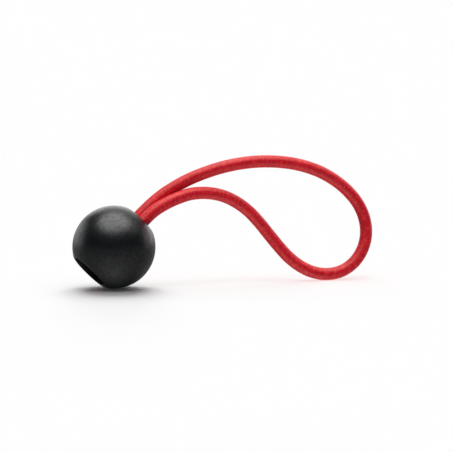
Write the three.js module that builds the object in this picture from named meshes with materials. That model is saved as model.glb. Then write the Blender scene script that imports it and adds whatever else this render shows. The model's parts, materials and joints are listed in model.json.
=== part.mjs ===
// Ball bungee: a moulded ball with a loop of elastic cord, whose two ends are knotted together inside it.
// Millimetres, +Z up. The origin is the ball's foot, where it touches the surface that the part lies on.
// The loop stands on edge along +X, leans a little to one side and comes down to that surface at its far end.
import * as THREE from "three";

// Sizes of the cord
const cordDiameter = 4.2;
const sheathWall = 0.35;
const coreClearance = 0.3;
const pieceGap = 0.3;

// Sizes of the ball
const ballDiameter = 28;
const boreLean = THREE.MathUtils.degToRad(46.5);
const counterboreDiameter = 13.5;
const counterboreCornerRound = 0.8;
const throatLength = 8;
const mouthLand = 0.65;
const topLand = 0.6;
const outerEdgeRound = 0.35;
const leadInRound = 1.2;
const ledgeChamfer = 0.4;
const throatClearance = 0.3;

// The two strands in the throat lie side by side, and the pair is turned about the bore.
const strandGap = 0.2;
const pairTurn = THREE.MathUtils.degToRad(103);
const strandStandOut = 0.4;

// The knot is drawn tight under the ledge. Its cord is stretched thin, and its shares follow its own reach.
const knotClearance = 0.25;
const knotCordShare = 0.415;
const knotCoreShare = 0.323;
const knotHalfHeightShare = 0.65;
const knotTurns = 1.25;
const knotTurnDelayShare = 0.045;
const knotOutwardHaste = 1.8;
const taperLength = 2.4;

// The cut ends relax to almost the cord's full thickness and are sealed by heat.
const tailLength = 1.5;
const tailRelaxLength = 1.2;
const tailDiameter = 3.7;
const tailSplay = 0.25;
const tipLength = 1.2;
const tipSwell = 0.1;

// Two places on one end count as separate turns when this much cord lies between them, in its own diameters.
const separateTurnDiameters = 3;
const wayOutShare = 0.5;

// Facets
const ballSegments = 72;
const equatorToMouthSteps = 10;
const equatorToTopSteps = 11;
const roundSteps = 4;
const tipSteps = 6;
const tipSides = 16;
const cordSides = 12;
const coreSides = 8;
const knotSides = 8;
const knotStepLength = 0.75;
const loopStepDiameters = 1.25;
const loopSamples = 400;

// Sizes that follow from the ones above
const ballRadius = ballDiameter / 2;
const cordRadius = cordDiameter / 2;
const strandOffset = cordRadius + strandGap / 2;
const throatRadius = strandOffset + cordRadius + throatClearance;
const counterboreRadius = counterboreDiameter / 2;
const mouthLandRadius = counterboreRadius + mouthLand;
const topLandRadius = throatRadius + leadInRound + topLand;
const mouthFace = -Math.sqrt(ballRadius ** 2 - mouthLandRadius ** 2);
const topFace = Math.sqrt(ballRadius ** 2 - topLandRadius ** 2);
const ledge = topFace - throatLength;
const knotReach = counterboreRadius - knotClearance;
const knotCordRadius = (knotCordShare * knotReach) / 2;
const knotCoreRadius = knotCoreShare * knotReach;
const knotWrapRadius = knotReach - knotCordRadius;
const knotHalfHeight = knotHalfHeightShare * knotReach;
const knotMiddle = ledge - pieceGap - knotCordRadius - knotHalfHeight;
const strandTop = topFace + strandStandOut;

// Finishes
const ballPlastic = new THREE.MeshStandardMaterial({ color: 0x26282a, roughness: 0.55, metalness: 0 });
const braid = new THREE.MeshStandardMaterial({ color: 0xc4161e, roughness: 0.75, metalness: 0 });
const latex = new THREE.MeshStandardMaterial({ color: 0xd9cfae, roughness: 0.6, metalness: 0 });
const meltedBraid = new THREE.MeshStandardMaterial({ color: 0x6d0d12, roughness: 0.35, metalness: 0 });

// Places in the ball: along is the distance from its centre up the bore, and out is the distance
// from the bore's axis.
const inBall = (out, angle, along) =>
  new THREE.Vector3(out * Math.cos(angle), out * Math.sin(angle), along);

// The ball's own frame: its local +Z runs up the bore from the mouth to the throat's top.
const ballFrame = new THREE.Group();
ballFrame.position.z = ballRadius;
ballFrame.rotation.y = boreLean;
ballFrame.updateMatrixWorld(true);

// Points of an arc about a centre, as (out, along) pairs, both ends included.
function arc(out, along, radius, fromAngle, toAngle, steps) {
  const points = [];
  for (let i = 0; i <= steps; i++) {
    const angle = THREE.MathUtils.lerp(fromAngle, toAngle, i / steps);
    points.push(new THREE.Vector2(out + radius * Math.cos(angle), along + radius * Math.sin(angle)));
  }
  return points;
}

// The rounded edge between the sphere and a flat face across the bore: where its centre lies.
function edgeCentre(face) {
  const along = face - Math.sign(face) * outerEdgeRound;
  return { along, out: Math.sqrt((ballRadius - outerEdgeRound) ** 2 - along ** 2) };
}

// Half the section of the ball, from the mouth's rim round the outside, in at the top and back down the bore.
function ballProfile() {
  const mouthEdge = edgeCentre(mouthFace);
  const topEdge = edgeCentre(topFace);
  const mouthTangent = Math.atan2(mouthEdge.along, mouthEdge.out);
  const topTangent = Math.atan2(topEdge.along, topEdge.out);
  const down = -Math.PI / 2;
  const up = Math.PI / 2;
  const points = [
    new THREE.Vector2(counterboreRadius, mouthFace),
    ...arc(mouthEdge.out, mouthEdge.along, outerEdgeRound, down, mouthTangent, roundSteps),
    ...arc(0, 0, ballRadius, mouthTangent, 0, equatorToMouthSteps).slice(1),
    ...arc(0, 0, ballRadius, 0, topTangent, equatorToTopSteps).slice(1),
    ...arc(topEdge.out, topEdge.along, outerEdgeRound, topTangent, up, roundSteps).slice(1),
    ...arc(throatRadius + leadInRound, topFace - leadInRound, leadInRound, up, Math.PI, roundSteps),
    new THREE.Vector2(throatRadius, ledge + ledgeChamfer),
    new THREE.Vector2(throatRadius + ledgeChamfer, ledge),
    ...arc(
      counterboreRadius - counterboreCornerRound,
      ledge - counterboreCornerRound,
      counterboreCornerRound,
      up,
      0,
      roundSteps,
    ),
  ];
  points.push(points[0].clone());
  return points;
}

function ballMesh() {
  const solid = new THREE.LatheGeometry(ballProfile(), ballSegments);
  solid.rotateX(Math.PI / 2);
  const mesh = new THREE.Mesh(solid, ballPlastic);
  mesh.name = "ball";
  return mesh;
}

// The path of one knotted end, from the throat's top down to its cut end.
// It runs down the core, turns outwards at the bottom, winds up round the core, turns in at the top
// and runs down the core again: with a turn and a quarter, that is an overhand knot.
// Two such ends, half a turn apart, are the overhand knot that is tied in both ends at once.
function endPath(startAngle) {
  const points = [];
  const straight = (fromOut, toOut, angle, fromAlong, toAlong) => {
    const steps = Math.max(2, Math.ceil(Math.abs(toAlong - fromAlong) / knotStepLength));
    for (let i = 0; i < steps; i++) {
      const share = i / steps;
      const eased = THREE.MathUtils.smoothstep(share, 0, 1);
      const out = THREE.MathUtils.lerp(fromOut, toOut, eased);
      points.push(inBall(out, angle, THREE.MathUtils.lerp(fromAlong, toAlong, share)));
    }
  };
  straight(strandOffset, strandOffset, startAngle, strandTop, ledge + taperLength);
  straight(strandOffset, knotCoreRadius, startAngle, ledge + taperLength, ledge);
  straight(knotCoreRadius, knotCoreRadius, startAngle, ledge, knotMiddle);
  const wrap = knotWrapRadius - knotCoreRadius;
  const delay = knotTurnDelayShare * 2 * Math.PI;
  const steps = Math.ceil((2 * Math.PI * knotTurns * knotWrapRadius) / knotStepLength);
  for (let i = 0; i < steps; i++) {
    const ring = (i / steps) * 2 * Math.PI;
    const outward = 1 - ((1 + Math.cos(ring)) / 2) ** knotOutwardHaste;
    const turning = THREE.MathUtils.clamp((ring - delay) / (2 * Math.PI - 2 * delay), 0, 1) * 2 * Math.PI;
    const angle = startAngle + knotTurns * (turning - Math.sin(turning));
    points.push(inBall(knotCoreRadius + wrap * outward, angle, knotMiddle - knotHalfHeight * Math.sin(ring)));
  }
  const endAngle = startAngle + knotTurns * 2 * Math.PI;
  const knotBottom = knotMiddle - knotHalfHeight - knotCordRadius;
  straight(knotCoreRadius, knotCoreRadius, endAngle, knotMiddle, knotBottom);
  const cut = knotBottom - tailLength;
  straight(knotCoreRadius, knotCoreRadius + tailSplay, endAngle, knotBottom, cut);
  points.push(inBall(knotCoreRadius + tailSplay, endAngle, cut));
  return { curve: new THREE.CatmullRomCurve3(points, false, "centripetal"), knotBottom, cut, endAngle };
}

// How thick the end is at a place: full in the throat, thin in the knot, relaxed again on its way out.
function endRadius(along, onWayOut, knotBottom) {
  const thinning = THREE.MathUtils.smoothstep(along, ledge, ledge + taperLength);
  const relaxing = 1 - THREE.MathUtils.smoothstep(along, knotBottom - tailRelaxLength, knotBottom);
  return onWayOut
    ? THREE.MathUtils.lerp(knotCordRadius, tailDiameter / 2, relaxing)
    : THREE.MathUtils.lerp(knotCordRadius, cordRadius, thinning);
}

// A round tube along a curve, whose radius changes, closed at both ends.
function taperedTube(curve, radiusAt, sides) {
  const steps = Math.ceil(curve.getLength() / knotStepLength);
  const centres = curve.getSpacedPoints(steps);
  const frames = curve.computeFrenetFrames(steps, false);
  const places = [];
  const faces = [];
  centres.forEach((centre, i) => {
    const radius = radiusAt(centre, i / steps);
    for (let k = 0; k < sides; k++) {
      const angle = (k / sides) * 2 * Math.PI;
      const place = centre
        .clone()
        .addScaledVector(frames.normals[i], radius * Math.cos(angle))
        .addScaledVector(frames.binormals[i], radius * Math.sin(angle));
      places.push(place.x, place.y, place.z);
    }
  });
  for (let i = 0; i < steps; i++)
    for (let k = 0; k < sides; k++) {
      const here = i * sides + k;
      const beside = i * sides + ((k + 1) % sides);
      faces.push(here, beside, here + sides, beside, beside + sides, here + sides);
    }
  for (let k = 1; k < sides - 1; k++) {
    faces.push(0, k + 1, k);
    const last = steps * sides;
    faces.push(last, last + k, last + k + 1);
  }
  return new THREE.BufferGeometry()
    .setAttribute("position", new THREE.Float32BufferAttribute(places, 3))
    .setIndex(faces);
}

// The least distance between the surfaces of a tube's own turns, or of two tubes, on points of their paths.
function leastGap(first, second, reach) {
  const spacing = knotStepLength / 2;
  const one = first.getSpacedPoints(Math.ceil(first.getLength() / spacing));
  const other = second.getSpacedPoints(Math.ceil(second.getLength() / spacing));
  let least = Infinity;
  one.forEach((a, i) =>
    other.forEach((b, j) => {
      if (first === second && Math.abs(i - j) * spacing < reach) return;
      if (Math.max(a.z, b.z) > ledge) return;
      least = Math.min(least, a.distanceTo(b));
    }),
  );
  return least - 2 * knotCordRadius;
}

function knottedEnd(name, path) {
  const radiusAt = (place, share) => endRadius(place.z, share > wayOutShare, path.knotBottom);
  const mesh = new THREE.Mesh(taperedTube(path.curve, radiusAt, knotSides), braid);
  mesh.name = name;
  return mesh;
}

// The bead that heat leaves on a cut end: it swells a little past the cord, then rounds over.
function sealedTip(name, path) {
  const root = tailDiameter / 2;
  const widest = root + tipSwell;
  const halfLength = tipLength / 2;
  const profile = arc(0, 0, 1, -Math.PI / 2, 0, tipSteps).map(
    (unit) => new THREE.Vector2(unit.x * widest, unit.y * halfLength - halfLength),
  );
  profile.push(new THREE.Vector2(root, 0), new THREE.Vector2(0, 0));
  const solid = new THREE.LatheGeometry(profile, tipSides);
  solid.rotateX(Math.PI / 2);
  const mesh = new THREE.Mesh(solid, meltedBraid);
  mesh.position.copy(inBall(knotCoreRadius + tailSplay, path.endAngle, path.cut - pieceGap));
  mesh.name = name;
  return mesh;
}

// The loop's route, from the upper strand at the ball round the bight to the lower strand.
// Its two ends leave the throat straight. The points between were chosen by eye, a cord and a half apart.
const exitOf = (angle, beyond) =>
  ballFrame.localToWorld(inBall(strandOffset, angle, strandTop + pieceGap + beyond));
const straightLead = cordRadius;
const upperAngle = pairTurn;
const lowerAngle = pairTurn + Math.PI;
const route = [
  exitOf(upperAngle, 0),
  exitOf(upperAngle, straightLead),
  ...[
    [13.4, 2.1, 27.3],
    [17.2, 2.0, 30.3],
    [21.8, 1.7, 33.2],
    [27.1, 1.2, 35.9],
    [32.9, 0.7, 38.1],
    [38.9, 0.3, 39.8],
    [45.0, 0, 40.9],
    [51.2, 0, 41.4],
    [57.4, 0, 41.3],
    [63.5, 0, 40.6],
    [69.5, 0, 39.2],
    [75.3, 0, 37.0],
    [80.5, 0, 34.0],
    [85.2, 0, 30.2],
    [88.9, -0.2, 25.7],
    [91.1, -0.6, 20.6],
    [91.5, -1.2, 15.2],
    [89.9, -1.8, 10.0],
    [86.5, -2.4, 5.7],
    [81.7, -2.8, 2.9],
    [76.2, -3.0, cordRadius],
    [71.0, -2.8, 3.0],
    [66.3, -2.4, 5.3],
    [62.3, -1.8, 8.5],
    [58.8, -1.2, 12.4],
    [55.5, -0.6, 16.5],
    [52.1, -0.2, 20.7],
    [48.2, 0, 24.7],
    [43.7, 0, 27.9],
    [38.6, -0.3, 30.2],
    [33.0, -0.7, 31.3],
    [27.3, -1.2, 31.2],
    [22.0, -1.7, 29.9],
    [17.3, -2.0, 28.0],
    [13.7, -2.1, 26.0],
  ].map((place) => new THREE.Vector3(...place)),
  exitOf(lowerAngle, straightLead),
  exitOf(lowerAngle, 0),
];
const loop = new THREE.CatmullRomCurve3(route, false, "centripetal");
loop.arcLengthDivisions = loopSamples;
const loopLength = loop.getLength();

// The loop's three stretches, as shares of its length: the two legs deform, and a hand pulls the bight.
const upperLegShare = 0.27;
const bightShare = 0.46;

// A stretch of the loop between two distances from its start.
class Stretch extends THREE.Curve {
  constructor(from, to) {
    super();
    this.from = from;
    this.to = to;
  }
  getPoint(share, target = new THREE.Vector3()) {
    const distance = THREE.MathUtils.lerp(this.from, this.to, share);
    return loop.getPointAt(THREE.MathUtils.clamp(distance / loopLength, 0, 1), target);
  }
}

const circle = (radius, sides) =>
  Array.from({ length: sides }, (_, k) => {
    const angle = (k / sides) * 2 * Math.PI;
    return new THREE.Vector2(radius * Math.cos(angle), radius * Math.sin(angle));
  });

// One stretch of cord: the braided sheath is a tube, and the bundle of rubber threads lies inside it.
function cordStretch(name, from, to) {
  const path = new Stretch(from, to);
  const steps = Math.ceil((to - from) / (loopStepDiameters * cordDiameter));
  const along = { steps, bevelEnabled: false, extrudePath: path };
  const bore = cordRadius - sheathWall;
  const ring = new THREE.Shape(circle(cordRadius, cordSides));
  ring.holes.push(new THREE.Path(circle(bore, cordSides)));
  const sheath = new THREE.Mesh(new THREE.ExtrudeGeometry(ring, along), braid);
  sheath.name = name + "_sheath";
  const bundle = new THREE.Shape(circle(bore - coreClearance, coreSides));
  const core = new THREE.Mesh(new THREE.ExtrudeGeometry(bundle, along), latex);
  core.name = name + "_core";
  return [sheath, core];
}

// The assembly
const upperEnd = endPath(upperAngle);
const lowerEnd = endPath(lowerAngle);
ballFrame.add(
  ballMesh(),
  knottedEnd("knotted_end_upper", upperEnd),
  knottedEnd("knotted_end_lower", lowerEnd),
  sealedTip("sealed_tip_upper", upperEnd),
  sealedTip("sealed_tip_lower", lowerEnd),
);

const upperLegEnd = upperLegShare * loopLength;
const bightEnd = (upperLegShare + bightShare) * loopLength;
const bungee = new THREE.Group();
bungee.add(
  ballFrame,
  ...cordStretch("upper_leg", 0, upperLegEnd - pieceGap / 2),
  ...cordStretch("bight", upperLegEnd + pieceGap / 2, bightEnd - pieceGap / 2),
  ...cordStretch("lower_leg", bightEnd + pieceGap / 2, loopLength),
);

const ownReach = separateTurnDiameters * 2 * knotCordRadius;
console.log(
  "knot's least gap to itself",
  leastGap(upperEnd.curve, upperEnd.curve, ownReach).toFixed(2),
  "mm, between its two ends",
  leastGap(upperEnd.curve, lowerEnd.curve, ownReach).toFixed(2),
  "mm; loop",
  loopLength.toFixed(1),
  "mm",
);

export default bungee;
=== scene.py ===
# %% [markdown]
# # A ball bungee
# A ball bungee holds a sheet to a pole: the loop goes round the pole, and the ball goes through the loop.
# It is a moulded black ball and one red elastic cord. The cord's two ends go down the ball's throat and
# are tied in one knot, which sits in the wide bore below and can't come back through.
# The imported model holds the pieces, the sizes and the joints. This lesson gives them their finish.

# %% Load the frame and measure it
import json
import math

import bpy
import numpy as np
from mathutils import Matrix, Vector

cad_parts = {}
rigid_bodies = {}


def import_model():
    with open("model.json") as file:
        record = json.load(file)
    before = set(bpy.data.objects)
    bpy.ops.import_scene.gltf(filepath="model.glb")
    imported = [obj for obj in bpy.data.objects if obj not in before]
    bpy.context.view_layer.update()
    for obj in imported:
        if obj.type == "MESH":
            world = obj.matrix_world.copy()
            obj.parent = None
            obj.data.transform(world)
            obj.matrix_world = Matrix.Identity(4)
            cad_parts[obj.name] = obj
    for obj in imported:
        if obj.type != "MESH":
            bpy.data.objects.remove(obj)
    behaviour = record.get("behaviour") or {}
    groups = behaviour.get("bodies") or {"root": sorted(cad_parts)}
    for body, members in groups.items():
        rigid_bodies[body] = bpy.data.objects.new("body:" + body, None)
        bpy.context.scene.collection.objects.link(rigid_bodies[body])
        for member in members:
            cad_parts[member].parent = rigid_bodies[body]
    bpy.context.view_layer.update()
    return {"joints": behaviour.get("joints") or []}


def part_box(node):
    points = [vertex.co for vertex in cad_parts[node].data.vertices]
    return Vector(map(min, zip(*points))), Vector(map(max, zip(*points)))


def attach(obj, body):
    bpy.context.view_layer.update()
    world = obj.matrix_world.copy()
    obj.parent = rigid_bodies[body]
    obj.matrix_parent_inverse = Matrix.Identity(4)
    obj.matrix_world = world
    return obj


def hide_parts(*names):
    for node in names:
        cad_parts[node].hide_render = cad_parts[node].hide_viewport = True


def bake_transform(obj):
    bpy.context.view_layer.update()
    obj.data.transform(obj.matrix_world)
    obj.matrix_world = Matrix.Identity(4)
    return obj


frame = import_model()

MM = 0.001
joints = {joint["name"]: joint for joint in frame["joints"]}
ball_low, ball_high = (np.array(corner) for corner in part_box("ball"))
ball_radius = (ball_high[1] - ball_low[1]) / 2
ball_centre = np.array([0, 0, ball_radius])
bore_axis = np.array(joints["ball_slide"]["axis"])
bore_axis = bore_axis / np.linalg.norm(bore_axis)
print("ball radius", round(ball_radius / MM, 3), "mm, bore axis", bore_axis.round(3))

# %% [markdown]
# ## The camera
# The picture was taken with a long lens from a little above the table, slightly to the left of the loop's
# plane. The ball's width in the picture gives the scale. The edges of the ball, and of the loop, which stands
# upright over a line on the table, give the direction. The camera looks at a place under the loop, so that
# the object sits where it does in the picture without any shift of the lens.

# %% Place the camera
picture_width_px = 452
ball_width_px = 83.1
camera_distance = 1.0
camera_azimuth = math.radians(-18)
camera_elevation = math.radians(6.2)
looked_at = np.array([40.2, 0, 19.7]) * MM
sensor_width_mm = 36
end_of_sight = 20

towards_camera = np.array([
    math.sin(camera_azimuth) * math.cos(camera_elevation),
    -math.cos(camera_azimuth) * math.cos(camera_elevation),
    math.sin(camera_elevation),
])
camera = bpy.data.objects.new("camera", bpy.data.cameras.new("camera"))
bpy.context.scene.collection.objects.link(camera)
bpy.context.scene.camera = camera
camera_place = ball_centre + camera_distance * towards_camera
camera.location = camera_place
looking = Vector(looked_at - camera_place)
camera.rotation_euler = looking.to_track_quat("-Z", "Y").to_euler()
metres_per_px = 2 * ball_radius / ball_width_px
camera.data.sensor_width = sensor_width_mm
camera.data.lens = sensor_width_mm * camera_distance / (metres_per_px * picture_width_px)
camera.data.clip_end = end_of_sight
print("lens", round(camera.data.lens, 1), "mm on a sensor of", sensor_width_mm, "mm")

# %% [markdown]
# ## The way the cord runs
# The loop stands on edge, because the two strands come out of the throat side by side and the ball holds
# them up. It rises, turns over at the far end, touches the table once and runs back in a long S.
# A cord's route is a list of given points, here the same as in the solid model. A smooth curve goes
# through them, so that no bend shows where two points meet.

# %% Where the two strands leave the ball
cord_diameter = 4.2 * MM
strand_gap = 0.2 * MM
pair_turn = math.radians(103)
strand_stand_out = 0.4 * MM
throat_clearance = 0.3 * MM
piece_gap = 0.3 * MM
lead_in_round = 1.2 * MM
top_land = 0.6 * MM

cord_radius = cord_diameter / 2
strand_offset = cord_radius + strand_gap / 2
throat_radius = strand_offset + cord_radius + throat_clearance
top_land_radius = throat_radius + lead_in_round + top_land
top_face = math.sqrt(ball_radius**2 - top_land_radius**2)
strand_top = top_face + strand_stand_out

across_axis = np.array([0, 1, 0])
out_axis = np.cross(across_axis, bore_axis)


def in_ball(out, angle, along):
    """A place in the ball's bore: along it from the ball's centre, and out from its axis at an angle."""
    out, angle, along = (np.asarray(v, float)[..., None] for v in (out, angle, along))
    return ball_centre + out * (np.cos(angle) * out_axis + np.sin(angle) * across_axis) + along * bore_axis


upper_angle = pair_turn
lower_angle = pair_turn + math.pi


def strand_exit(angle, beyond):
    """A place on the straight line of one strand, beyond the place where it leaves the ball."""
    return in_ball(strand_offset, angle, strand_top + piece_gap + beyond)


print("the throat is", round(2 * throat_radius / MM, 2), "mm wide, for two strands side by side")

# %% The route's points
route = MM * np.array([
    [13.4, 2.1, 27.3],
    [17.2, 2.0, 30.3],
    [21.8, 1.7, 33.2],
    [27.1, 1.2, 35.9],
    [32.9, 0.7, 38.1],
    [38.9, 0.3, 39.8],
    [45.0, 0, 40.9],
    [51.2, 0, 41.4],
    [57.4, 0, 41.3],
    [63.5, 0, 40.6],
    [69.5, 0, 39.2],
    [75.3, 0, 37.0],
    [80.5, 0, 34.0],
    [85.2, 0, 30.2],
    [88.9, -0.2, 25.7],
    [91.1, -0.6, 20.6],
    [91.5, -1.2, 15.2],
    [89.9, -1.8, 10.0],
    [86.5, -2.4, 5.7],
    [81.7, -2.8, 2.9],
    [76.2, -3.0, cord_radius / MM],
    [71.0, -2.8, 3.0],
    [66.3, -2.4, 5.3],
    [62.3, -1.8, 8.5],
    [58.8, -1.2, 12.4],
    [55.5, -0.6, 16.5],
    [52.1, -0.2, 20.7],
    [48.2, 0, 24.7],
    [43.7, 0, 27.9],
    [38.6, -0.3, 30.2],
    [33.0, -0.7, 31.3],
    [27.3, -1.2, 31.2],
    [22.0, -1.7, 29.9],
    [17.3, -2.0, 28.0],
    [13.7, -2.1, 26.0],
])
straight_lead = cord_radius
route = np.vstack([
    strand_exit(upper_angle, 0),
    strand_exit(upper_angle, straight_lead),
    route,
    strand_exit(lower_angle, straight_lead),
    strand_exit(lower_angle, 0),
])
print(len(route), "points lead the cord round the loop")


# %% A smooth curve through the points
def smooth_path(points, per_span=60):
    """A curve through the points: the centripetal Catmull-Rom spline.

    Each span is a cubic from one point to the next. Its slope at a point weighs the chords on both sides by
    the square roots of their lengths, so that close points don't make it overshoot."""
    ends = np.vstack([2 * points[0] - points[1], points, 2 * points[-1] - points[-2]])
    p0, p1, p2, p3 = ends[:-3], ends[1:-2], ends[2:-1], ends[3:]
    chords = (p1 - p0, p2 - p1, p3 - p2)
    d01, d12, d23 = (np.sqrt(np.linalg.norm(chord, axis=1))[:, None] for chord in chords)
    slope1 = ((p1 - p0) / d01 - (p2 - p0) / (d01 + d12) + (p2 - p1) / d12) * d12
    slope2 = ((p2 - p1) / d12 - (p3 - p1) / (d12 + d23) + (p3 - p2) / d23) * d12
    t = (np.arange(per_span) / per_span)[None, :, None]
    cubic = (
        (2 * t**3 - 3 * t**2 + 1) * p1[:, None]
        + (t**3 - 2 * t**2 + t) * slope1[:, None]
        + (3 * t**2 - 2 * t**3) * p2[:, None]
        + (t**3 - t**2) * slope2[:, None]
    )
    return np.vstack([cubic.reshape(-1, 3), points[-1]])


def lengths_along(path):
    """The distance from the path's start to each of its points."""
    return np.concatenate([[0], np.cumsum(np.linalg.norm(np.diff(path, axis=0), axis=1))])


def evenly(path, count):
    """The same path as count points at equal distances along it."""
    along = lengths_along(path)
    wanted = np.linspace(0, along[-1], count)
    return np.stack([np.interp(wanted, along, path[:, k]) for k in range(3)], axis=1)


loop_path = smooth_path(route)
loop_length = lengths_along(loop_path)[-1]
print("loop", round(loop_length / MM, 1), "mm of cord")

# %% [markdown]
# ## A mesh from a grid of points
# Every piece here is a surface that two numbers describe: how far along it and how far around it. Numpy works
# out the whole grid of points at once, and one function turns a grid into a closed mesh with a map of its
# own, so that a weave can follow a cord round every bend.


# %% The faces of a grid
def grid_faces(rows, columns, ring):
    """The quads of a grid whose columns wrap round, as corner numbers and as map places."""
    spans = rows if ring else rows - 1
    i, j = (a.ravel() for a in np.meshgrid(np.arange(spans), np.arange(columns), indexing="ij"))
    corner_rows = np.stack([i, i, i + 1, i + 1], axis=1)
    corner_columns = np.stack([j, j + 1, j + 1, j], axis=1)
    numbers = (corner_rows % rows) * columns + corner_columns % columns
    places = np.stack([corner_columns / columns, corner_rows / spans], axis=2)
    return numbers, places


def end_faces(rows, columns):
    """The triangles that close each end of the grid on one more point."""
    j = np.arange(columns)
    beside = (j + 1) % columns
    first_point = rows * columns
    last_row = (rows - 1) * columns
    first = np.stack([np.full(columns, first_point), beside, j], axis=1)
    last = np.stack([np.full(columns, first_point + 1), last_row + j, last_row + beside], axis=1)
    here, middle, after = (j / columns, (j + 0.5) / columns, (j + 1) / columns)
    start, stop = np.zeros(columns), np.ones(columns)
    first_places = np.stack([middle, start, after, start, here, start], axis=1)
    last_places = np.stack([middle, stop, here, stop, after, stop], axis=1)
    return np.vstack([first, last]), np.vstack([first_places, last_places]).reshape(-1, 3, 2)


def enclosed_volume(points, faces):
    """The volume inside closed faces: the sum of the tetrahedra from the origin to all their triangles."""
    a, b, c = (points[faces[:, k]] for k in (0, 1, 2))
    total = np.einsum("ij,ij->", a, np.cross(b, c))
    if faces.shape[1] == 4:
        d = points[faces[:, 3]]
        total += np.einsum("ij,ij->", a, np.cross(c, d))
    return total / 6


# %% Turn a grid into a mesh
def surface(name, grid, ring=False):
    """A closed mesh object from a grid of points, rows along it and columns around it.

    A ring's last row joins its first. Any other grid is closed at each end on the mean of its end row.
    If the faces turn out to enclose a negative volume, they point inwards, and all are turned round."""
    rows, columns = grid.shape[:2]
    points = grid.reshape(-1, 3)
    groups = [grid_faces(rows, columns, ring)]
    if not ring:
        points = np.vstack([points, grid[0].mean(axis=0), grid[-1].mean(axis=0)])
        groups.append(end_faces(rows, columns))
    if sum(enclosed_volume(points, faces) for faces, _ in groups) < 0:
        groups = [(faces[:, ::-1], places[:, ::-1]) for faces, places in groups]
    corners = np.concatenate([faces.ravel() for faces, _ in groups]).astype(np.int32)
    places = np.concatenate([places.reshape(-1, 2) for _, places in groups]).astype(np.float32)
    sizes = np.concatenate([np.full(len(faces), faces.shape[1]) for faces, _ in groups])
    starts = np.concatenate([[0], np.cumsum(sizes)[:-1]]).astype(np.int32)
    mesh = bpy.data.meshes.new(name)
    mesh.vertices.add(len(points))
    mesh.vertices.foreach_set("co", points.astype(np.float32).ravel())
    mesh.loops.add(len(corners))
    mesh.loops.foreach_set("vertex_index", corners)
    mesh.polygons.add(len(starts))
    mesh.polygons.foreach_set("loop_start", starts)
    mesh.polygons.foreach_set("use_smooth", np.ones(len(starts), bool))
    mesh.uv_layers.new(name="surface").data.foreach_set("uv", places.ravel())
    mesh.update(calc_edges=True)
    mesh.validate()
    piece = bpy.data.objects.new(name, mesh)
    bpy.context.scene.collection.objects.link(piece)
    print(name, "has", int((sizes - 2).sum()), "triangles")
    return piece


# %% [markdown]
# ## The braid
# The cord's sheath is a diamond braid: as many yarns wind one way round the rubber as the other way, and they
# pass over and under each other in turn. Seen from outside, it is rows of small slanted pillows, where each
# column leans the other way from its neighbour. The relief is worked out as a height at each point,
# because then the same formula can shape the mesh and colour the finish. The grid's steps are whole fractions
# of the yarns' spacing, so that each pillow gets the same points.

# %% The braid's height
yarns_each_way = 8
braid_pitch = 0.55 * MM
braid_relief = 0.09 * MM
braid_stand_out = 0.05 * MM
crown_power = 0.8
arch_power = 0.35
points_per_yarn = 8
points_per_pitch = 4


def braid_height(around, along):
    """How high the braid stands, from 0 in a gap to 1 on a crown, at a place counted in yarns and pitches.

    One family of yarns lies along lines of equal around + along, and the other of equal around - along.
    The sum of the two whole parts, odd or even, says which family is on top. The yarn's height is the
    cosine across it times the cosine along it, both zero at its edges. Each is raised to a power below one,
    which flattens it."""
    rising, falling = around + along, around - along
    rising_on_top = (np.floor(rising) + np.floor(falling)) % 2 == 0
    from_rising = rising - np.floor(rising) - 0.5
    from_falling = falling - np.floor(falling) - 0.5
    across = np.cos(np.pi * np.where(rising_on_top, from_rising, from_falling))
    lengthwise = np.cos(np.pi * np.where(rising_on_top, from_falling, from_rising))
    return np.clip(across, 0, 1) ** crown_power * np.clip(lengthwise, 0, 1) ** arch_power


print(2 * yarns_each_way, "yarns, and a pillow every", round(braid_pitch / MM, 2), "mm along the cord")


# %% Carry the braid along a path
def carried_frames(path):
    """Directions along and across a path, where the ones across never spin about it.

    Each step turns the last side direction by the smallest turn that keeps it square to the path."""
    ahead = np.gradient(path, axis=0)
    ahead /= np.linalg.norm(ahead, axis=1)[:, None]
    start = np.cross(ahead[0], across_axis)
    side = start / np.linalg.norm(start)
    sides = []
    for direction in ahead:
        side = side - (side @ direction) * direction
        side = side / np.linalg.norm(side)
        sides.append(side)
    sides = np.array(sides)
    return ahead, sides, np.cross(ahead, sides)


def braided_tube(name, path, radius, pitch, rows):
    """A braided cord along a path. radius is a number, or one for each row of the even path.

    A point lies out from its row's centre, at the angle around, by the radius less the braid's depth."""
    centres = evenly(path, rows)
    _, side, other = carried_frames(centres)
    columns = yarns_each_way * points_per_yarn
    angle = 2 * np.pi * np.arange(columns) / columns
    along = lengths_along(centres)[:, None] / pitch
    around = (np.arange(columns) / points_per_yarn)[None, :]
    depth = braid_relief * (1 - braid_height(around, along))
    out = np.broadcast_to(np.asarray(radius, float), (rows,))[:, None] - depth
    directions = np.cos(angle)[None, :, None] * side[:, None] + np.sin(angle)[None, :, None] * other[:, None]
    return surface(name, centres[:, None] + out[..., None] * directions)


def rows_for(length, pitch):
    """How many rows give each pitch of the braid its whole number of steps."""
    return int(round(length / pitch * points_per_pitch)) + 1
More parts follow.
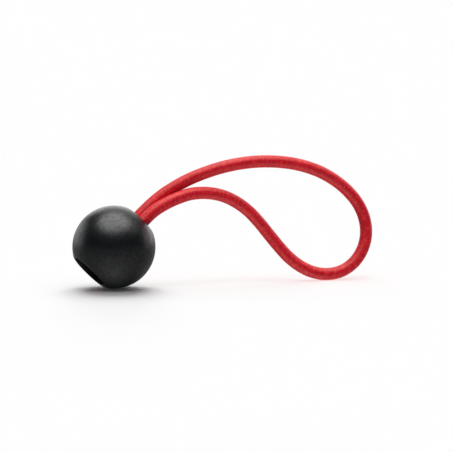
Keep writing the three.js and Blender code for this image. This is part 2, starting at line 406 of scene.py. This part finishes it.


# %% [markdown]
# ## The loop
# One tube is the whole loop, and its two ends run on a little way into the throat, where the knotted ends
# take over out of sight. It stands for the sheath and the rubber core of all three stretches of the
# solid model. When the loop is pulled, its far part moves and the two legs have to follow by degrees. The
# tube itself is not blended here: the script only works out where such a blend would run, from beyond the
# ball's own travel to the bight, so that the strands would stay in line with the throat wherever the ball
# slides.

# %% Make the loop
hidden_overlap = 3 * MM
ends_in_throat = np.vstack([
    strand_exit(upper_angle, -hidden_overlap),
    loop_path,
    strand_exit(lower_angle, -hidden_overlap),
])
braided_length = lengths_along(ends_in_throat)[-1]
loop_rows = rows_for(braided_length, braid_pitch)
crown_radius = cord_radius + braid_stand_out
loop_cord = braided_tube("loop_cord", ends_in_throat, crown_radius, braid_pitch, loop_rows)
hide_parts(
    "upper_leg_sheath",
    "upper_leg_core",
    "bight_sheath",
    "bight_core",
    "lower_leg_sheath",
    "lower_leg_core",
)
bight_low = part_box("bight_sheath")[0]
slide_travel = joints["ball_slide"]["range_m"][1]
stretch_from = strand_exit(upper_angle, slide_travel + cord_diameter) * [1, 0, 1]
stretch_to = stretch_from + [bight_low[0] - stretch_from[0], 0, 0]
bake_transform(loop_cord)
print("stretches from x", round(stretch_from[0] / MM, 1), "to x", round(stretch_to[0] / MM, 1), "mm")

# %% [markdown]
# ## The ball
# The ball is turned about its bore, so half its section says everything: the round outside, a flat rim at the
# mouth and one at the top, the rounded lead-in, the throat, the ledge that the knot pulls against and the
# wide bore. The solid model has the same section with few facets. Here every round gets many points, and the
# mouth's inner edge gets the small round that a mould leaves.

# %% The ball's sizes
counterbore_radius = 6.75 * MM
mouth_land = 0.65 * MM
outer_edge_round = 0.35 * MM
mouth_edge_round = 0.2 * MM
counterbore_corner_round = 0.8 * MM
ledge_chamfer = 0.4 * MM
throat_length = 8 * MM

mouth_land_radius = counterbore_radius + mouth_land
mouth_face = -math.sqrt(ball_radius**2 - mouth_land_radius**2)
ledge = top_face - throat_length
print("the knot pulls against a ledge", round((ledge - mouth_face) / MM, 2), "mm above the mouth's rim")

# %% The ball's section
ball_columns = 192
sphere_points = 110
edge_points = 8
mouth_edge_points = 6
lead_in_points = 12
land_points = 2
throat_points = 8
ledge_points = 3
wall_points = 16


def arc(out, along, radius, start, stop, count):
    """Points of an arc about a centre in the section, as rows of out and along."""
    angle = np.linspace(start, stop, count)
    return np.stack([out + radius * np.cos(angle), along + radius * np.sin(angle)], axis=1)


def line(start, stop, count):
    """Points of a straight stretch of the section, without its ends."""
    share = (np.arange(1, count + 1) / (count + 1))[:, None]
    return np.array(start) * (1 - share) + np.array(stop) * share


def edge_centre(face):
    """Where the round between the sphere and a flat face has its centre."""
    along = face - math.copysign(outer_edge_round, face)
    return math.sqrt((ball_radius - outer_edge_round) ** 2 - along**2), along


def ball_section():
    """Half the ball's section, from the mouth's inner edge round the outside and back down the bore."""
    mouth_edge, top_edge = edge_centre(mouth_face), edge_centre(top_face)
    mouth_tangent, top_tangent = (math.atan2(edge[1], edge[0]) for edge in (mouth_edge, top_edge))
    up, down = math.pi / 2, -math.pi / 2
    inner_edge = (counterbore_radius + mouth_edge_round, mouth_face + mouth_edge_round)
    lead_in = (throat_radius + lead_in_round, top_face - lead_in_round)
    throat_end = (throat_radius, ledge + ledge_chamfer)
    ledge_start = (throat_radius + ledge_chamfer, ledge)
    corner = (counterbore_radius - counterbore_corner_round, ledge - counterbore_corner_round)
    return np.vstack([
        arc(*inner_edge, mouth_edge_round, math.pi, math.pi - down, mouth_edge_points),
        line((inner_edge[0], mouth_face), (mouth_edge[0], mouth_face), land_points),
        arc(*mouth_edge, outer_edge_round, down, mouth_tangent, edge_points),
        arc(0, 0, ball_radius, mouth_tangent, top_tangent, sphere_points)[1:-1],
        arc(*top_edge, outer_edge_round, top_tangent, up, edge_points),
        line((top_edge[0], top_face), (lead_in[0], top_face), land_points),
        arc(*lead_in, lead_in_round, up, math.pi, lead_in_points),
        line((throat_radius, lead_in[1]), throat_end, throat_points),
        [throat_end, ledge_start],
        line(ledge_start, (corner[0], ledge), ledge_points),
        arc(*corner, counterbore_corner_round, up, 0, edge_points),
        line((counterbore_radius, corner[1]), (counterbore_radius, inner_edge[1]), wall_points),
    ])


def turned(section, columns):
    """The grid of a section turned about the bore: each point goes round at its own distance out."""
    angle = 2 * np.pi * np.arange(columns) / columns
    out, along = section[:, :1], section[:, 1:]
    return in_ball(out * np.ones(columns), angle[None, :] * np.ones_like(out), along * np.ones(columns))


# %% Make the ball
ball = surface("ball_moulding", turned(ball_section(), ball_columns), ring=True)
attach(ball, "ball")
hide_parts("ball")

# %% [markdown]
# ## The knot
# Both ends are tied together in one overhand knot. Each end runs down the middle, turns outwards at the
# bottom, winds up round the middle, turns in at the top and runs down the middle again. With a turn and a
# quarter that is an overhand knot, and the second end does the same half a turn later. The knot is drawn so
# tight that the cord is stretched thin. Beyond it the cut ends relax to almost their full thickness.

# %% The knot's sizes
knot_clearance = 0.25 * MM
knot_cord_share = 0.415
knot_core_share = 0.323
knot_half_height_share = 0.65
knot_turns = 1.25
knot_turn_delay_share = 0.045
knot_outward_haste = 1.8
taper_length = 2.4 * MM
tail_length = 1.5 * MM
tail_relax_length = 1.2 * MM
tail_diameter = 3.7 * MM
tail_splay = 0.25 * MM

knot_reach = counterbore_radius - knot_clearance
knot_cord_radius = knot_cord_share * knot_reach / 2
knot_core_radius = knot_core_share * knot_reach
knot_wrap_radius = knot_reach - knot_cord_radius
knot_half_height = knot_half_height_share * knot_reach
knot_middle = ledge - piece_gap - knot_cord_radius - knot_half_height
knot_bottom = knot_middle - knot_half_height - knot_cord_radius
cut = knot_bottom - tail_length
print("the knot thins the cord to", round(2 * knot_cord_radius / MM, 2), "mm")


# %% The path of one end
def eased(share):
    """Nought to one with a soft start and a soft end: three squares less two cubes."""
    share = np.clip(share, 0, 1)
    return share**2 * (3 - 2 * share)


def straight_run(out_from, out_to, angle, along_from, along_to, count=12):
    """A run down the bore whose distance from the axis eases from one value to another."""
    share = np.arange(count) / count
    out = out_from + (out_to - out_from) * eased(share)
    return in_ball(out, np.full(count, angle), along_from + (along_to - along_from) * share)


# %% The winding part of an end
def knot_round(start_angle, count=160):
    """The winding part: a ring seen from the side, drawn out from the core to the wrap, that also turns.

    The height is minus a sine of the ring's angle, the distance out follows one less a power of a raised
    cosine, and the turning is an angle less its sine, so that it starts and ends gently."""
    ring = 2 * np.pi * np.arange(count) / count
    outward = 1 - ((1 + np.cos(ring)) / 2) ** knot_outward_haste
    delay = 2 * np.pi * knot_turn_delay_share
    turning = 2 * np.pi * np.clip((ring - delay) / (2 * np.pi - 2 * delay), 0, 1)
    angle = start_angle + knot_turns * (turning - np.sin(turning))
    out = knot_core_radius + (knot_wrap_radius - knot_core_radius) * outward
    return in_ball(out, angle, knot_middle - knot_half_height * np.sin(ring))


def end_path(start_angle, top):
    """The centre line of one end, from a height in the throat down through the knot to its cut."""
    end_angle = start_angle + knot_turns * 2 * math.pi
    return np.vstack([
        straight_run(strand_offset, strand_offset, start_angle, top, ledge + taper_length),
        straight_run(strand_offset, knot_core_radius, start_angle, ledge + taper_length, ledge),
        straight_run(knot_core_radius, knot_core_radius, start_angle, ledge, knot_middle),
        knot_round(start_angle),
        straight_run(knot_core_radius, knot_core_radius, end_angle, knot_middle, knot_bottom),
        straight_run(knot_core_radius, knot_core_radius + tail_splay, end_angle, knot_bottom, cut),
        in_ball(knot_core_radius + tail_splay, end_angle, cut),
    ])


# %% The cord's thickness along an end
def end_radii(centres):
    """The cord's radius along one end: full in the throat, thin in the knot, relaxed again at the cut."""
    height = (centres - ball_centre) @ bore_axis
    thinning = eased((height - ledge) / taper_length)
    going_in = knot_cord_radius + (cord_radius - knot_cord_radius) * thinning
    relaxing = 1 - eased((height - (knot_bottom - tail_relax_length)) / tail_relax_length)
    coming_out = knot_cord_radius + (tail_diameter / 2 - knot_cord_radius) * relaxing
    second_half = np.arange(len(centres)) > len(centres) / 2
    return np.where(second_half, coming_out, going_in)


# %% Tie the two ends
knot_braid_pitch = 1.0 * MM
knot_points_per_span = 6
hidden_top = strand_top + piece_gap - hidden_overlap
knotted_ends = {}

for which, start_angle in (("upper", upper_angle), ("lower", lower_angle)):
    path = smooth_path(end_path(start_angle, hidden_top), knot_points_per_span)
    rows = rows_for(lengths_along(path)[-1], knot_braid_pitch)
    radii = end_radii(evenly(path, rows))
    knotted_end = braided_tube("knotted_cord_" + which, path, radii, knot_braid_pitch, rows)
    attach(knotted_end, "cord")
    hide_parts("knotted_end_" + which)
    knotted_ends[which] = (knotted_end, (rows - 1) / points_per_pitch)

# %% [markdown]
# ## The sealed ends
# A cut braid frays, so each end is melted with a hot blade or a flame. The yarns run together into a small
# hard bead, a little wider than the cord and never quite even. A low dome turned about the end's own line
# has that shape, with a short barrel above it, and a few slow waves round it take the evenness away.

# %% Seal the ends
tip_length = 1.2 * MM
tip_swell = 0.1 * MM
tip_unevenness = 0.05
tip_rows = 28
tip_columns = 48
quarter_turn = 0.5 * math.pi
dome_start = -0.98 * quarter_turn
closing_latitude = 0.02
melted_tips = []


def bead(name, start_angle, waves):
    """A melted bead: a dome below its widest ring, and above it a barrel that narrows to the cord.

    The dome's radius and height are the cosine and the sine of a latitude. The barrel keeps the cord's
    radius and adds the swell times that cosine, and its height grows evenly with the latitude. The last row
    closes on the middle. The radius also waves, by the cosine of a few times the angle around."""
    end_angle = start_angle + knot_turns * 2 * math.pi
    latitude = np.linspace(dome_start, quarter_turn, tip_rows)[:, None]
    angle = 2 * np.pi * np.arange(tip_columns)[None, :] / tip_columns
    root = tail_diameter / 2
    dome = (root + tip_swell) * np.cos(latitude)
    barrel = root + tip_swell * np.cos(latitude)
    closing = np.clip((quarter_turn - latitude) / closing_latitude, 0, 1)
    radius = np.where(latitude < 0, dome, barrel) * closing
    wave = 0.5 + 0.5 * np.cos(waves * angle + 2 * latitude)
    radius = radius * (1 - tip_unevenness * wave * np.cos(latitude))
    height = np.where(latitude < 0, 0.5 * np.sin(latitude), 0.5 * latitude / quarter_turn) - 0.5
    centre = in_ball(knot_core_radius + tail_splay, end_angle, cut)
    sideways = np.cos(angle)[..., None] * out_axis + np.sin(angle)[..., None] * across_axis
    return surface(name, centre + radius[..., None] * sideways + (height * tip_length)[..., None] * bore_axis)


for which, start_angle, waves in (("upper", upper_angle, 3), ("lower", lower_angle, 4)):
    tip = bead("melted_tip_" + which, start_angle, waves)
    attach(tip, "cord")
    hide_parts("sealed_tip_" + which)
    melted_tips.append(tip)

# %% [markdown]
# ## Finishes as sums
# A finish is a small calculation at each point of the surface. Writing it as ordinary sums keeps it readable:
# a wire is one output of the calculation, and each operator on it adds the node that does the sum.


# %% A wire that can stand in a sum
class Wire:
    """One output of a node. Every operator on it adds one Math node and gives that node's output."""

    def __init__(self, finish, socket):
        self.finish = finish
        self.socket = socket

    def maths(self, operation, *values):
        """Add the Math node of one operation on wires and numbers."""
        return self.finish.node("ShaderNodeMath", {"operation": operation}, dict(enumerate(values)))

    def __add__(self, other):
        return self.maths("ADD", self, other)

    def __radd__(self, other):
        return self.maths("ADD", other, self)

    def __sub__(self, other):
        return self.maths("SUBTRACT", self, other)

    def __rsub__(self, other):
        return self.maths("SUBTRACT", other, self)

    def __mul__(self, other):
        return self.maths("MULTIPLY", self, other)

    def __rmul__(self, other):
        return self.maths("MULTIPLY", other, self)

    def __pow__(self, other):
        return self.maths("POWER", self, other)

    def __rpow__(self, other):
        return self.maths("POWER", other, self)

    def floor(self):
        return self.maths("FLOOR", self)

    def cosine(self):
        return self.maths("COSINE", self)

    def at_least(self, limit):
        return self.maths("MAXIMUM", self, limit)

    def remainder(self, divisor):
        return self.maths("FLOORED_MODULO", self, divisor)


# %% A finish that is built from nodes
class Finish:
    """A material, or another node tree if one is given, that starts empty and is filled by its methods."""

    def __init__(self, name, tree=None):
        if tree is None:
            self.material = bpy.data.materials.new(name)
            self.material.use_nodes = True
            tree = self.material.node_tree
        self.tree = tree
        self.tree.nodes.clear()

    def node(self, kind, settings=None, sockets=None, output=0):
        """Add any node: its settings first, then the values or wires of its sockets. Gives one output."""
        made = self.tree.nodes.new(kind)
        for key, value in (settings or {}).items():
            setattr(made, key, value)
        for key, value in (sockets or {}).items():
            if isinstance(value, Wire):
                self.tree.links.new(value.socket, made.inputs[key])
            else:
                made.inputs[key].default_value = value
        return Wire(self, made.outputs[output])

    def mix_colour(self, share, first, second):
        """The first colour where share is 0, the second where it is 1. Mix has its colours at 6 and 7."""
        first, second = (v if isinstance(v, Wire) else (*v, 1) for v in (first, second))
        return self.node("ShaderNodeMix", {"data_type": "RGBA"}, {0: share, 6: first, 7: second}, output=2)

    def noise(self, place, scale, detail=2.0, roughness=0.5):
        """Cloudy noise from 0 to 1, with about as many clouds to the metre as its scale says."""
        sockets = {"Vector": place, "Scale": scale, "Detail": detail, "Roughness": roughness}
        return self.node("ShaderNodeTexNoise", None, sockets)

    def object_place(self):
        """Where a point of the piece lies, in metres."""
        return self.node("ShaderNodeTexCoord", output="Object")

    def bump(self, height, depth, strength):
        """A normal that leans as a surface of this height and depth would."""
        sockets = {"Height": height, "Distance": depth, "Strength": strength}
        return self.node("ShaderNodeBump", None, sockets)

    def cover(self, sockets):
        """End the material in one Principled shader with these values and wires."""
        self.end_in("ShaderNodeOutputMaterial", self.node("ShaderNodeBsdfPrincipled", None, sockets))
        print(self.material.name, "is made of", len(self.tree.nodes), "nodes")

    def end_in(self, kind, shader):
        """Join a shader to the output that Blender renders."""
        made = self.tree.nodes.new(kind)
        self.tree.links.new(shader.socket, made.inputs["Surface"])


# %% [markdown]
# ## The braid's finish
# The yarns are bright polyester, and hairline filaments run along each yarn. The gaps between the yarns get a
# painted shade: a deeper red that fades to the plain red on their crowns. Each pillow gets a tone of its own
# from the numbers of the two yarns that cross there, and some pillows get a painted glint, a pale red on
# their crowns that stands for light shining off the yarns. A slow noise wears the red in patches, and a fine
# one stands for single threads, which also break up the painted glints. A soft sheen stands for the loose
# hairs. The finish reads the tube's own map, so that the yarns bend with the cord. It repeats the braid's
# height formula, so that colour and shape agree.

# %% The braid's reds, painted shade and glints, relief and gloss
yarn_red = (0.84, 0.002, 0.026)
# painted shade: the deeper red of the gaps between the yarns, where shade falls
painted_gap_shade_red = (0.48, 0.001, 0.012)
# painted glint: a pale red that stands for light shining off the yarns' crowns
painted_glint_red = (1.0, 0.075, 0.060)
worn_red = (0.55, 0.002, 0.020)
gloss_tint = (1.0, 0.80, 0.62, 1.0)
sheen_tint = (1.0, 0.50, 0.38, 1.0)
# how the painted gap shade fades out towards the crowns
painted_shade_narrowing = 0.7
pillow_contrast = 0.9
patch_contrast = 1.3
patch_scale = 170.0
thread_scale = 5200.0
filaments_per_yarn = 5
# how rare the painted glints are, and how much filaments and threads break them up
painted_glint_rarity = 3.0
painted_glint_share = 0.3
crown_relief = 0.75
filament_relief = 0.15
thread_relief = 0.1
braid_roughness = 0.34
crown_polish = 0.08
thread_roughness = 0.12
fine_bump_depth = 0.05 * MM
fine_bump_strength = 0.6
print("each yarn shows", filaments_per_yarn, "filaments")


# %% Make the braid's finish
def braid_finish(name, pitches):
    """The braid's colour, gloss and bump, on a tube that has this many pitches along its whole length."""
    finish = Finish(name)
    place = finish.node("ShaderNodeUVMap", {"uv_map": "surface"})
    around = finish.node("ShaderNodeSeparateXYZ", None, {0: place}, output=0) * yarns_each_way
    along = finish.node("ShaderNodeSeparateXYZ", None, {0: place}, output=1) * pitches
    rising, falling = around + along, around - along
    falling_on_top = (rising.floor() + falling.floor()).remainder(2.0)
    from_rising = rising - rising.floor() - 0.5
    from_falling = falling - falling.floor() - 0.5
    across = from_rising + falling_on_top * (from_falling - from_rising)
    lengthwise = from_falling + falling_on_top * (from_rising - from_falling)
    crown = (across * math.pi).cosine().at_least(0.0) ** crown_power
    arch = (lengthwise * math.pi).cosine().at_least(0.0) ** arch_power
    height = crown * arch
    filament = (across * (2 * math.pi * filaments_per_yarn)).cosine() * 0.5 + 0.5
    place_on_piece = finish.object_place()
    patches = finish.noise(place_on_piece, patch_scale, detail=3.0)
    threads = finish.noise(place_on_piece, thread_scale)
    round_number = (rising.floor() + falling.floor()).remainder(2.0 * yarns_each_way)
    row_number = rising.floor() - falling.floor()
    pillow = finish.node("ShaderNodeCombineXYZ", None, {0: round_number, 1: row_number})
    pillow_tone = finish.node("ShaderNodeTexWhiteNoise", {"noise_dimensions": "2D"}, {"Vector": pillow})
    wear = (pillow_tone - 0.5) * pillow_contrast + (patches - 0.5) * patch_contrast + 0.5
    # painted shade: the red deepens from the crowns down into the gaps
    gap_shade_to_plain = finish.mix_colour(height.at_least(0.0) ** painted_shade_narrowing, painted_gap_shade_red, yarn_red)
    # painted glints: pale red on the crowns of some pillows, broken up by filaments and threads
    painted_glitter = filament * painted_glint_share + threads * painted_glint_share + painted_glint_share
    painted_glints = height * (pillow_tone ** painted_glint_rarity) * painted_glitter
    colour = finish.mix_colour(wear, worn_red, gap_shade_to_plain)
    colour = finish.mix_colour(painted_glints, colour, painted_glint_red)
    relief = height * crown_relief + height * filament * filament_relief + threads * thread_relief
    finish.cover({
        "Base Color": colour,
        "Roughness": braid_roughness - height * crown_polish + threads * thread_roughness,
        "Normal": finish.bump(relief, fine_bump_depth, fine_bump_strength),
        "Specular Tint": gloss_tint,
        "Sheen Weight": 0.28,
        "Sheen Roughness": 0.35,
        "Sheen Tint": sheen_tint,
    })
    return finish.material


loop_cord.data.materials.append(braid_finish("red_braid", braided_length / braid_pitch))
for which, (knotted_end, pitches) in knotted_ends.items():
    knotted_end.data.materials.append(braid_finish("red_braid_" + which, pitches))

# %% [markdown]
# ## The ball's finish
# The ball comes from a finely sparked mould: near black, satin, with a grain that only shows where light
# grazes it. Two sizes of noise make that grain, and a slow third one varies the gloss, as handling does.
# Where light shines on it, the surface looks mottled, because the mould's skin is a little shinier in some
# spots than in others. A thin coat with a patchy weight gives that, and leaves the dark side dark.

# %% Make the ball's finish
ball_black = (0.0020, 0.0028, 0.0036)
ball_bloom = (0.0040, 0.0052, 0.0062)
ball_roughness = 0.28
roughness_variation = 0.06
fine_share = 0.35
coarse_share = 0.65
grain_bump_strength = 0.8
mean_coat = 0.35
mottle_contrast = 1.2

finish = Finish("black_moulding")
place = finish.object_place()
fine_grain = finish.noise(place, scale=5200.0, roughness=0.6)
coarse_grain = finish.noise(place, scale=1300.0)
gloss_patches = finish.noise(place, scale=120.0)
mottle = finish.noise(place, scale=900.0, roughness=0.6)
grain = fine_grain * fine_share + coarse_grain * coarse_share
unevenness = gloss_patches * roughness_variation + coarse_grain * roughness_variation
finish.cover({
    "Base Color": finish.mix_colour(coarse_grain, ball_black, ball_bloom),
    "Roughness": unevenness + ball_roughness,
    "Normal": finish.bump(grain, fine_bump_depth, grain_bump_strength),
    "Specular IOR Level": 0.36,
    "Coat Weight": ((mottle - 0.5) * mottle_contrast + mean_coat).at_least(0.0),
    "Coat Roughness": 0.32,
})
ball.data.materials.append(finish.material)

# %% [markdown]
# ## The beads' finish
# Melted braid is darker and shinier than the yarns, with small blisters and sooty streaks.

# %% Make the beads' finish
melted_red = (0.16, 0.006, 0.010)
sooty_red = (0.035, 0.004, 0.005)
melted_roughness = 0.22
soot_roughness = 0.25
blister_depth = 0.08 * MM

finish = Finish("melted_bead")
place = finish.object_place()
soot = finish.noise(place, scale=900.0, detail=3.0, roughness=0.6)
blisters = finish.noise(place, scale=2600.0)
finish.cover({
    "Base Color": finish.mix_colour(soot, melted_red, sooty_red),
    "Roughness": soot * soot_roughness + melted_roughness,
    "Normal": finish.bump(blisters, blister_depth, fine_bump_strength),
})
for tip in melted_tips:
    tip.data.materials.append(finish.material)

# %% [markdown]
# ## The table
# The object lies on a white sheet that fills the picture. Its white comes from the sheet's own colour as the
# camera sees it, and the light on the object stays plain. To light that bounces, the sheet is a mid grey,
# because lamps of their own stand for what a white sheet would send back.

# %% Make the table
floor_half_width = 6.0
sheet_white = 0.98
sheet_white_to_object = 0.25

corners = floor_half_width * np.array([[-1, -1, 0], [1, -1, 0], [1, 1, 0], [-1, 1, 0]], float)
floor_mesh = bpy.data.meshes.new("white_sheet")
floor_mesh.from_pydata(corners.tolist(), [], [(0, 1, 2, 3)])
floor = bpy.data.objects.new("white_sheet", floor_mesh)
bpy.context.scene.collection.objects.link(floor)

finish = Finish("white_sheet")
seen = finish.node("ShaderNodeLightPath", output="Is Camera Ray")
whiteness = finish.mix_colour(seen, (sheet_white_to_object,) * 3, (sheet_white,) * 3)
finish.cover({"Base Color": whiteness, "Roughness": 0.9, "Specular IOR Level": 0.0})
floor.data.materials.append(finish.material)

# %% [markdown]
# ## The light
# One very large softbox hangs over the object, tilted a little towards the camera. Four soft lamps behind it
# stand for a pale backdrop, which draws a line along the top edges and the ball's rim. The camera's side
# stays dark, which is why the front of the ball is almost black. The white table sends light back up, and two
# soft lamps from below stand for its near part, one of them for the shade side alone: as behind crossed
# polarising filters, it shows in no gloss. Only the pieces stand in the way of those two.
# The table has lamps of its own, so that the object's gloss and the table's shadow are set one by one, as on
# a set with flags and screens. Its two key lamps stand behind the ball and are blocked by the ball alone, so
# the loop's shadow is only the soft one right under it.

# %% What each lamp lights, and what stands in its way
pieces_only = bpy.data.collections.new("lit_pieces")
ball_pieces = bpy.data.collections.new("ball_pieces")
table_only = bpy.data.collections.new("lit_table")
table_only.objects.link(floor)
for thing in bpy.context.scene.objects:
    if thing.type == "MESH" and thing != floor:
        pieces_only.objects.link(thing)
        if thing != loop_cord:
            ball_pieces.objects.link(thing)


# %% Light the scene
def soft_lamp(name, lights, strength, tilt, turn, spread, blocked_by=None, shows_in_gloss=True):
    """A far lamp with a round soft face that lights only one collection.

    tilt is its angle from straight up and turn the angle round the object, from straight behind it as the
    camera sees it, towards the right. spread is the width of its face as the object sees it. A strength of 1
    shows a white surface that faces the lamp as white."""
    lamp = bpy.data.lights.new(name, "SUN")
    lamp.energy = math.pi * strength
    lamp.angle = math.radians(spread)
    made = bpy.data.objects.new(name, lamp)
    bearing = math.radians(turn) - camera_azimuth
    tilt = math.radians(tilt)
    towards = Vector((math.sin(tilt) * math.sin(bearing), math.sin(tilt) * math.cos(bearing), math.cos(tilt)))
    made.rotation_euler = towards.to_track_quat("Z", "Y").to_euler()
    made.light_linking.receiver_collection = lights
    made.light_linking.blocker_collection = blocked_by
    made.visible_glossy = shows_in_gloss
    bpy.context.scene.collection.objects.link(made)


soft_lamp("overhead_softbox", pieces_only, strength=1.20, tilt=-8, turn=0, spread=66)
soft_lamp("back_softbox", pieces_only, strength=0.20, tilt=56, turn=10, spread=60)
soft_lamp("backdrop", pieces_only, strength=0.20, tilt=82, turn=0, spread=60)
soft_lamp("left_backdrop", pieces_only, strength=0.19, tilt=84, turn=-54, spread=50)
soft_lamp("right_backdrop", pieces_only, strength=0.24, tilt=84, turn=54, spread=50)
soft_lamp("right_fill", pieces_only, strength=0.10, tilt=35, turn=90, spread=40)
soft_lamp("table_bounce", pieces_only, strength=0.62, tilt=155, turn=180, spread=64, blocked_by=pieces_only)
soft_lamp(
    "shade_fill", pieces_only, strength=0.10, tilt=110, turn=180, spread=110, blocked_by=pieces_only,
    shows_in_gloss=False,
)
soft_lamp("table_softbox", table_only, strength=0.24, tilt=0, turn=0, spread=110)
soft_lamp("table_front", table_only, strength=0.10, tilt=-10, turn=0, spread=30)
soft_lamp("table_back", table_only, strength=0.15, tilt=42, turn=0, spread=60)
soft_lamp("table_key", table_only, strength=0.60, tilt=38, turn=0, spread=45, blocked_by=ball_pieces)
soft_lamp("table_low_key", table_only, strength=0.28, tilt=75, turn=0, spread=20, blocked_by=ball_pieces)

# %% The pale room behind
room_brightness = 0.02
world = bpy.data.worlds.new("studio")
bpy.context.scene.world = world
world.use_nodes = True
studio = Finish("studio", world.node_tree)
seen = studio.node("ShaderNodeLightPath", output="Is Camera Ray")
brightness = seen * (1.0 - room_brightness) + room_brightness
backdrop_white = (sheet_white, sheet_white, sheet_white, 1)
background = studio.node("ShaderNodeBackground", None, {"Color": backdrop_white, "Strength": brightness})
studio.end_in("ShaderNodeOutputWorld", background)
bpy.context.scene.view_settings.view_transform = "Standard"
print("the room gives", room_brightness, "of white, and looks white to the camera")
